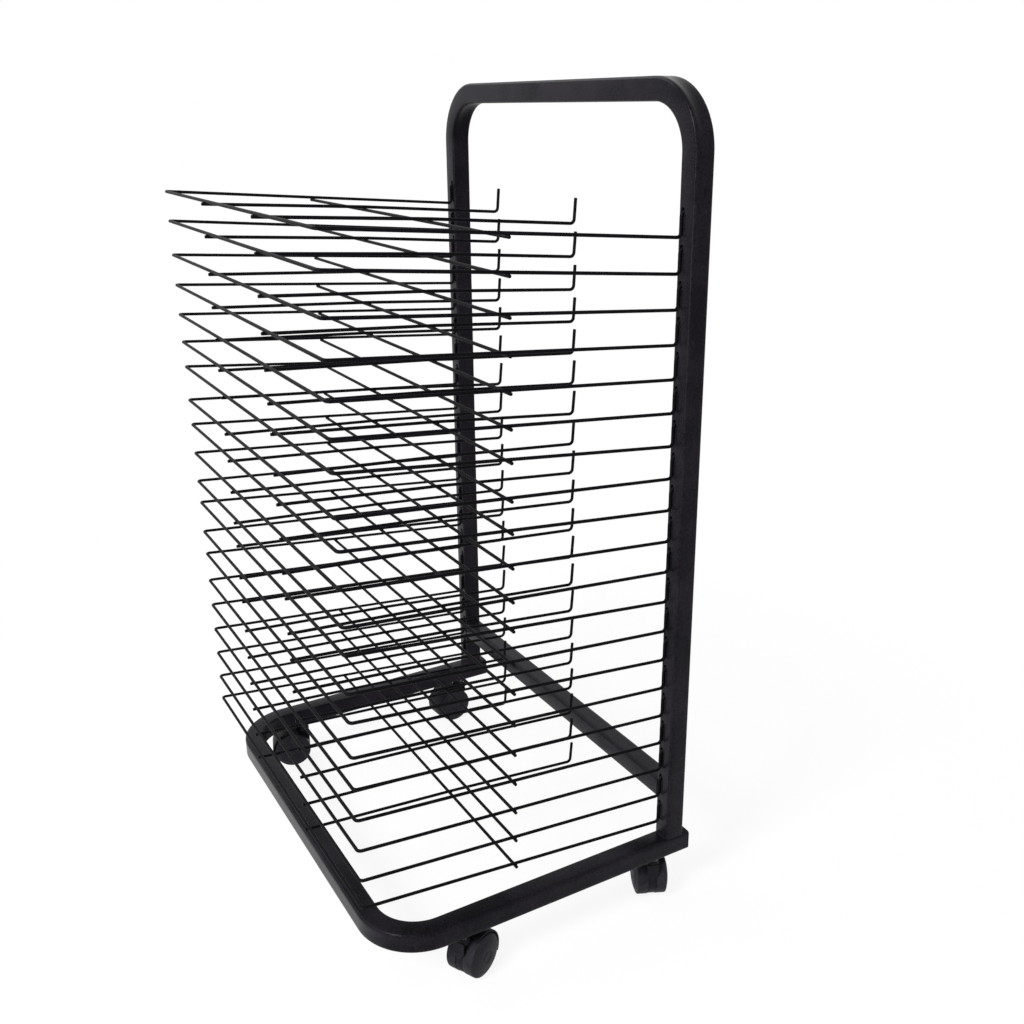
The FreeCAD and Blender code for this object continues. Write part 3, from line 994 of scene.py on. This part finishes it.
def seenRays(tree):
    # rays that show the plain white background: straight to the camera, in gloss and through glass
    path = addNode(tree, "ShaderNodeLightPath")
    direct = addNode(tree, "ShaderNodeMath", {"operation": "MAXIMUM"},
                     {0: path.outputs["Is Camera Ray"], 1: path.outputs["Is Glossy Ray"]})
    seen = addNode(tree, "ShaderNodeMath", {"operation": "MAXIMUM"},
                   {0: direct.outputs["Value"], 1: path.outputs["Is Transmission Ray"]})
    return seen.outputs["Value"]


def buildStudio(setup):
    deselectAll()
    bpy.ops.mesh.primitive_plane_add(size=setup["floorSize"])
    floor = startPiece("studioFloor")
    bpy.ops.mesh.subdivide(number_cuts=setup["floorCuts"])
    bpy.ops.object.mode_set(mode="OBJECT")
    paper = bpy.data.materials.new("paleBackgroundPaper")
    paper.use_nodes = True
    tree = paper.node_tree
    matt = tree.nodes["Principled BSDF"]
    matt.inputs["Base Color"].default_value = linearColour(setup["floorColour"])
    matt.inputs["Roughness"].default_value = setup["paperRoughness"]
    matt.inputs["Specular IOR Level"].default_value = setup["paperSpecular"]
    white = addNode(tree, "ShaderNodeEmission", {"Strength": 1.0})
    place = addNode(tree, "ShaderNodeTexCoord").outputs["Object"]
    reach = addNode(tree, "ShaderNodeVectorMath", {"operation": "LENGTH"}, {"Vector": place})
    fade = addNode(tree, "ShaderNodeMapRange",
                   {"interpolation_type": "SMOOTHSTEP",
                    "From Min": setup["shadowNear"], "From Max": setup["shadowFar"],
                    "To Min": 1.0 - setup["shadowShare"], "To Max": 1.0},
                   {"Value": reach.outputs["Value"]})
    share = addNode(tree, "ShaderNodeMath", {"operation": "MULTIPLY"},
                    {0: seenRays(tree), 1: fade.outputs["Result"]})
    mix = addNode(tree, "ShaderNodeMixShader", None,
                  {0: share.outputs["Value"], 1: matt.outputs["BSDF"],
                   2: white.outputs["Emission"]})
    tree.links.new(mix.outputs["Shader"], tree.nodes["Material Output"].inputs["Surface"])
    floor.data.materials.append(paper)
    world = bpy.data.worlds.new("studioWorld")
    bpy.context.scene.world = world
    world.use_nodes = True
    tree = world.node_tree
    light = tree.nodes["Background"]
    light.inputs["Color"].default_value = (1, 1, 1, 1)
    light.inputs["Strength"].default_value = setup["worldStrength"]
    plain = addNode(tree, "ShaderNodeBackground", {"Color": (1, 1, 1, 1), "Strength": 1.0})
    mix = addNode(tree, "ShaderNodeMixShader", None,
                  {0: seenRays(tree), 1: light.outputs["Background"],
                   2: plain.outputs["Background"]})
    tree.links.new(mix.outputs["Shader"], tree.nodes["World Output"].inputs["Surface"])
    for name in ("key", "fill", "rim"):
        place = setup[name + "Place"]
        bpy.ops.object.light_add(type="AREA", location=place, rotation=lookAt(place, setup["aim"]))
        lamp = bpy.context.object
        lamp.name = name + "Softbox"
        lamp.data.size = setup[name + "Size"]
        lamp.data.energy = setup[name + "Power"]


cameraSetup = {
    "place": (0.9541, -0.4358, 0.7566),
    "yaw": 59.03,       # degrees round from facing the back
    "pitch": -19.64,
    "roll": -0.12,
    "lens": 38.93,
    "sensor": 36.0,
    "shiftX": -0.0296,
    "shiftY": -0.0081,
    "clipEnd": 50.0,
}


def addCamera(setup):
    data = bpy.data.cameras.new("rackCamera")
    data.lens = setup["lens"]
    data.sensor_width = setup["sensor"]
    data.shift_x = setup["shiftX"]
    data.shift_y = setup["shiftY"]
    data.clip_end = setup["clipEnd"]
    camera = bpy.data.objects.new("rackCamera", data)
    bpy.context.scene.collection.objects.link(camera)
    turn = Matrix.Rotation(math.radians(setup["yaw"]), 4, "Z")
    tip = Matrix.Rotation(math.radians(90.0 + setup["pitch"]), 4, "X")
    roll = Matrix.Rotation(math.radians(setup["roll"]), 4, "Z")
    camera.matrix_world = Matrix.Translation(setup["place"]) @ turn @ tip @ roll
    bpy.context.scene.camera = camera


buildStudio(studio)
addCamera(cameraSetup)
bpy.context.scene.view_settings.view_transform = "Standard"
print("studio and camera set")
